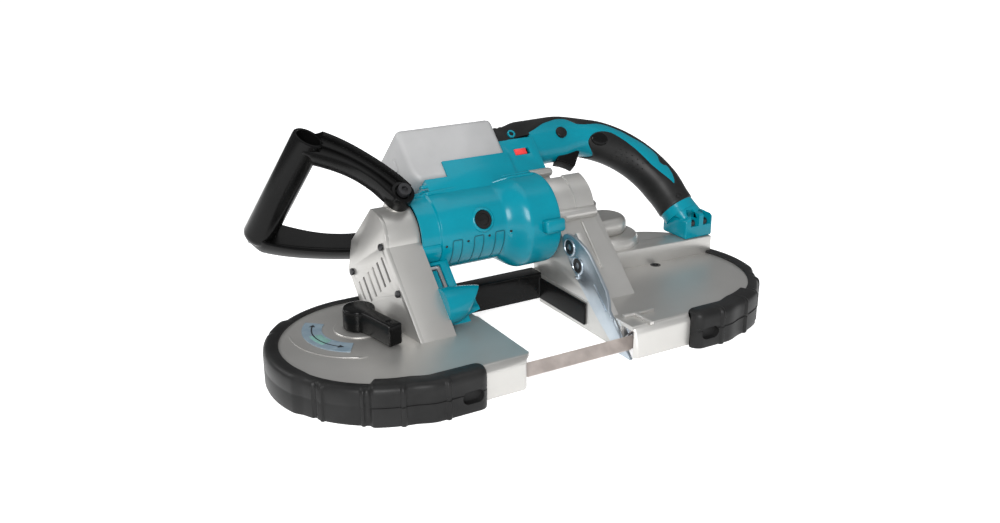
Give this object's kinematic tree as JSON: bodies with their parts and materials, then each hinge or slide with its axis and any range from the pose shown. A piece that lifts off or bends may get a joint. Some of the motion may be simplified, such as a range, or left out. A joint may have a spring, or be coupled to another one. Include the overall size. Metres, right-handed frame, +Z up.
{
  "type": "portable band saw",
  "caption": "Battery-powered portable band saw lying on its wheel housings: open throat with a twisted blade, leaning motor, geared drive, blade-tension lever, stop plate and two handles.",
  "frame": {"origin": "on the floor, below the middle of the saw's overall box", "axes": "+X along the blade from the idler wheel to the drive wheel, -Y towards the blade's cutting run at the front, +Z up from the floor that the two bumpers lie on"},
  "size_m": [0.547, 0.2957, 0.215],
  "materials": {
    "cast_silver": "sprayed light grey casting",
    "teal_plastic": "moulded teal plastic",
    "black_plastic": "glossy black plastic",
    "rubber": "charcoal rubber",
    "tyre_rubber": "black urethane",
    "machined_steel": "machined steel",
    "zinc": "bright zinc plate",
    "black_steel": "blackened steel",
    "blade_steel": "brown-grey spring steel",
    "wheel_alloy": "turned alloy",
    "iron_lamination": "stacked laminations",
    "copper": "turned copper",
    "carbon": "pressed carbon",
    "inner_plastic": "black moulding",
    "board_green": "lacquered board",
    "clear_lens": "clear lens",
    "legend": "printed blue-grey plate",
    "battery_grey": "pale grey plastic",
    "red_plastic": "red plastic"
  },
  "bodies": {
    "frame": {"battery_base": "teal_plastic", "bearings": "machined_steel", "brush_caps": "black_plastic", "brushes": "carbon", "case_screws": "black_steel", "drive_axle": "machined_steel", "drive_bumper": "rubber", "drive_guide": "machined_steel", "drive_housing": "cast_silver", "front_handle": "black_plastic", "front_handle_bolts": "black_steel", "gear_dome": "cast_silver", "gear_housing": "cast_silver", "handle_foot": "teal_plastic", "handle_grip": "rubber", "handle_shell_front": "teal_plastic", "handle_shell_rear": "teal_plastic", "idler_bumper": "rubber", "idler_guide": "machined_steel", "idler_housing": "cast_silver", "lamp_board": "board_green", "lamp_bracket": "teal_plastic", "lamp_lens": "clear_lens", "legend_plate": "legend", "motor_bracket": "cast_silver", "motor_housing": "teal_plastic", "rear_beam": "black_plastic", "saw_blade": "blade_steel", "stator": "iron_lamination", "switch_unit": "inner_plastic", "terminal_block": "inner_plastic", "vent_cover": "cast_silver"},
    "drive": {"drive_wheel": "wheel_alloy", "drive_tyre": "tyre_rubber", "bull_gear": "machined_steel"},
    "intermediate": {"intermediate_shaft": "machined_steel", "intermediate_gear": "machined_steel"},
    "countershaft": {"countershaft": "machined_steel", "bevel_gear": "machined_steel"},
    "armature": {"armature_shaft": "machined_steel", "armature_core": "iron_lamination", "commutator": "copper", "cooling_fan": "inner_plastic"},
    "tensioner": {"tension_slide": "machined_steel", "idler_bearing": "machined_steel"},
    "idler": {"idler_wheel": "wheel_alloy", "idler_tyre": "tyre_rubber"},
    "lever": {"tension_lever": "black_plastic"},
    "idler_front_roller": {"idler_front_roller": "machined_steel"},
    "idler_rear_roller": {"idler_rear_roller": "machined_steel"},
    "drive_front_roller": {"drive_front_roller": "machined_steel"},
    "drive_rear_roller": {"drive_rear_roller": "machined_steel"},
    "stopper": {"stopper_plate": "zinc", "stopper_bolts": "black_steel"},
    "trigger": {"trigger": "black_plastic"},
    "lock_button": {"lock_button": "black_plastic"},
    "lamp_switch": {"lamp_switch": "red_plastic"},
    "battery": {"battery_pack": "battery_grey"},
    "battery_release": {"battery_release": "battery_grey"},
    "hex_key": {"hex_key": "machined_steel"}
  },
  "joints": [
    {"name": "drive_spin", "type": "hinge", "parent": "frame", "child": "drive", "pos_m": [0.15521, -0.04022, 0.0145], "axis": [0, 0, 1], "continuous": true},
    {"name": "intermediate_spin", "type": "hinge", "parent": "frame", "child": "intermediate", "pos_m": [0.146, 0.04473, 0.04], "axis": [0, 0, 1], "continuous": true},
    {"name": "countershaft_spin", "type": "hinge", "parent": "frame", "child": "countershaft", "pos_m": [0.092, 0.04473, 0.06], "axis": [0, 0, 1], "continuous": true},
    {"name": "armature_spin", "type": "hinge", "parent": "frame", "child": "armature", "pos_m": [0, 0.04473, 0.10289], "axis": [1, 0, 0], "continuous": true},
    {"name": "lever_turn", "type": "hinge", "parent": "frame", "child": "lever", "pos_m": [-0.17201, 0.00217, 0.034], "axis": [0, 0, 1], "range_deg": [-150, 0]},
    {"name": "tension_slide", "type": "slide", "parent": "frame", "child": "tensioner", "axis": [1, 0, 0], "range_m": [0, 0.005]},
    {"name": "idler_spin", "type": "hinge", "parent": "tensioner", "child": "idler", "pos_m": [-0.15521, -0.04022, 0.0145], "axis": [0, 0, 1], "continuous": true},
    {"name": "stopper_slide", "type": "slide", "parent": "frame", "child": "stopper", "axis": [0, 0.7071, 0.7071], "range_m": [-0.019, 0]},
    {"name": "trigger_pull", "type": "slide", "parent": "frame", "child": "trigger", "axis": [0, 0.7071, 0.7071], "range_m": [0, 0.006], "stiffness_N_per_m": 300, "springref_m": -0.001},
    {"name": "lock_press", "type": "slide", "parent": "frame", "child": "lock_button", "axis": [0, 0.7071, -0.7071], "range_m": [0, 0.002], "stiffness_N_per_m": 300, "springref_m": -0.001},
    {"name": "lamp_switch_slide", "type": "slide", "parent": "frame", "child": "lamp_switch", "axis": [1, 0, 0], "range_m": [0, 0.004]},
    {"name": "battery_slide", "type": "slide", "parent": "frame", "child": "battery", "axis": [-1, 0, 0], "range_m": [0, 0.07]},
    {"name": "release_press", "type": "slide", "parent": "battery", "child": "battery_release", "axis": [0, -0.7071, -0.7071], "range_m": [0, 0.003], "stiffness_N_per_m": 300, "springref_m": -0.001},
    {"name": "key_pull", "type": "slide", "parent": "frame", "child": "hex_key", "axis": [0, -0.7071, 0.7071], "range_m": [0, 0.02]},
    {"name": "idler_front_roller_spin", "type": "hinge", "parent": "frame", "child": "idler_front_roller", "pos_m": [-0.071, -0.12435, 0.01883], "axis": [0, 0.7071, 0.7071], "continuous": true},
    {"name": "idler_rear_roller_spin", "type": "hinge", "parent": "frame", "child": "idler_rear_roller", "pos_m": [-0.071, -0.11852, 0.013], "axis": [0, 0.7071, 0.7071], "continuous": true},
    {"name": "drive_front_roller_spin", "type": "hinge", "parent": "frame", "child": "drive_front_roller", "pos_m": [0.0658, -0.12435, 0.01883], "axis": [0, 0.7071, 0.7071], "continuous": true},
    {"name": "drive_rear_roller_spin", "type": "hinge", "parent": "frame", "child": "drive_rear_roller", "pos_m": [0.0658, -0.11852, 0.013], "axis": [0, 0.7071, 0.7071], "continuous": true}
  ],
  "couplings": [
    {"joint": "intermediate_spin", "follows": "drive_spin", "ratio": -5.1429},
    {"joint": "countershaft_spin", "follows": "drive_spin", "ratio": 6.4286},
    {"joint": "armature_spin", "follows": "drive_spin", "ratio": -16.714},
    {"joint": "idler_spin", "follows": "drive_spin", "ratio": 1},
    {"joint": "lever_turn", "follows": "tension_slide", "rad_per_m": -523.6},
    {"joint": "idler_front_roller_spin", "follows": "drive_spin", "ratio": -23.429},
    {"joint": "idler_rear_roller_spin", "follows": "drive_spin", "ratio": 23.429},
    {"joint": "drive_front_roller_spin", "follows": "drive_spin", "ratio": -23.429},
    {"joint": "drive_rear_roller_spin", "follows": "drive_spin", "ratio": 23.429}
  ]
}
